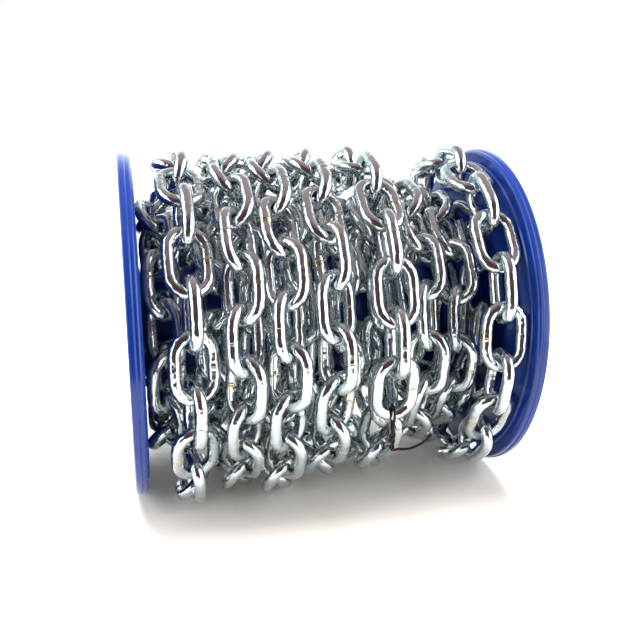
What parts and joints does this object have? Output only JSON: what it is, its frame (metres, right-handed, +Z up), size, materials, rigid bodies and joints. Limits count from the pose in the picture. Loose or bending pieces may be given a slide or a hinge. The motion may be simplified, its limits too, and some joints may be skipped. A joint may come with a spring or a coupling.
{
  "type": "chain reel",
  "caption": "Moulded plastic reel wound with zinc plated short link steel chain, its outer end tied down with wire; the chain is drawn off and cut to length.",
  "frame": {"origin": "on the floor under the middle of the reel, midway between the two flanges", "axes": "+X along the reel's axis, towards the flange whose inner face shows in the picture; +Z up; -Y towards the side that the chain's tied end is on"},
  "size_m": [0.1968, 0.1856, 0.1795],
  "materials": {
    "reel_plastic": "moulded, glossy",
    "zinc_plate": "bright zinc plate",
    "iron_wire": "dark annealed wire with light rust"
  },
  "bodies": {
    "root": {"flange_left": "reel_plastic", "flange_right": "reel_plastic", "barrel": "reel_plastic", "chain_core": "zinc_plate", "chain_end_link": "zinc_plate", "chain_turn_1": "zinc_plate", "chain_turn_2": "zinc_plate", "chain_turn_3": "zinc_plate", "chain_turn_4": "zinc_plate", "chain_turn_5": "zinc_plate", "chain_turn_6": "zinc_plate", "chain_turn_6_lower": "zinc_plate", "chain_turn_7": "zinc_plate", "chain_turn_8": "zinc_plate", "chain_turn_9": "zinc_plate", "tie_wire": "iron_wire"}
  },
  "joints": []
}
